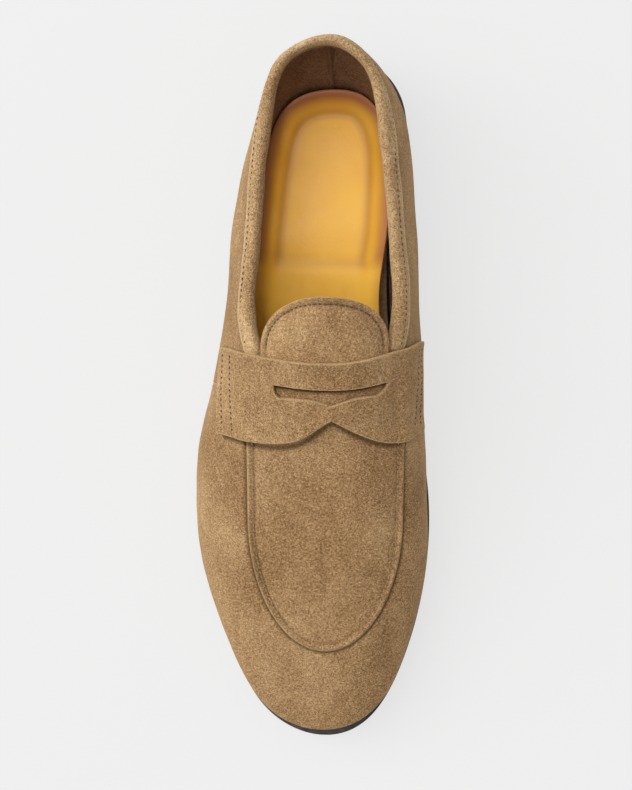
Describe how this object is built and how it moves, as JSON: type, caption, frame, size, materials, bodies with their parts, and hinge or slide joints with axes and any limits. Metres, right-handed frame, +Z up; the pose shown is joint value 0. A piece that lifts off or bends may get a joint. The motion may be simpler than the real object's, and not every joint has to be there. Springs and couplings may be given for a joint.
{
  "type": "penny loafer",
  "caption": "Right-foot slip-on penny loafer in suede: slotted saddle strap, raised apron, rolled collar, moulded footbed and a low stacked heel.",
  "frame": {"origin": "on the ground under the centre of the heel", "axes": "+Z up, the toe points along -Y, the inner (medial) side of the foot is +X"},
  "size_m": [0.1014, 0.2986, 0.091],
  "materials": {
    "suede": "matt taupe suede with a short nap",
    "apron_suede": "matt taupe suede with a short nap",
    "strap_suede": "matt taupe suede, edges cut raw",
    "tongue_suede": "matt taupe suede, edges cut raw",
    "collar_suede": "matt taupe suede rolled over a cord",
    "lining_suede": "dark brown lining leather, flesh side out",
    "footbed_leather": "smooth honey-coloured leather, burnished darker at its rim",
    "sole_leather": "leather sole and lifts with inked, burnished edges",
    "heel_rubber": "moulded dark rubber",
    "nail_steel": "bright wire nails",
    "shank_steel": "spring steel strip",
    "cork": "granulated cork filler",
    "board": "fibre insole board",
    "foam": "soft open-cell foam",
    "stiffener": "stiff impregnated cloth",
    "thread": "waxed pale thread"
  },
  "bodies": {
    "shoe": {"outsole": "sole_leather", "heel_lift_upper": "sole_leather", "heel_lift_lower": "sole_leather", "heel_top_piece": "heel_rubber", "heel_nails": "nail_steel", "shank": "shank_steel", "cork_filler": "cork", "insole_board": "board", "footbed_cushion": "foam", "footbed_cover": "footbed_leather", "quarter_lateral": "suede", "quarter_medial": "suede", "quarter_lining_lateral": "lining_suede", "quarter_lining_medial": "lining_suede", "heel_counter": "stiffener", "collar_roll": "collar_suede", "collar_cord": "foam", "saddle_strap": "strap_suede", "saddle_stitching": "thread", "collar_stitching": "thread", "back_seam_stitching": "thread"},
    "forefoot": {"vamp_skirt": "suede", "skirt_lining": "lining_suede", "toe_puff": "stiffener", "apron": "apron_suede", "apron_lining": "lining_suede", "apron_stitching": "thread"},
    "tongue_flap": {"tongue": "tongue_suede", "tongue_lining": "lining_suede", "tongue_stitching": "thread"}
  },
  "joints": [
    {"name": "toe_flex", "type": "hinge", "parent": "shoe", "child": "forefoot", "pos_m": [0, -0.159, 0.006], "axis": [-0.952, 0.306, 0], "range_deg": [0, 35], "stiffness_Nm_per_rad": 6, "deforming": ["outsole", "insole_board", "cork_filler", "footbed_cover", "footbed_cushion", "vamp_skirt", "skirt_lining", "apron", "apron_lining", "apron_stitching"]},
    {"name": "tongue_flex", "type": "hinge", "parent": "shoe", "child": "tongue_flap", "pos_m": [0.0026, -0.0998, 0.08], "axis": [1, 0, 0], "range_deg": [0, 35], "stiffness_Nm_per_rad": 0.05}
  ]
}
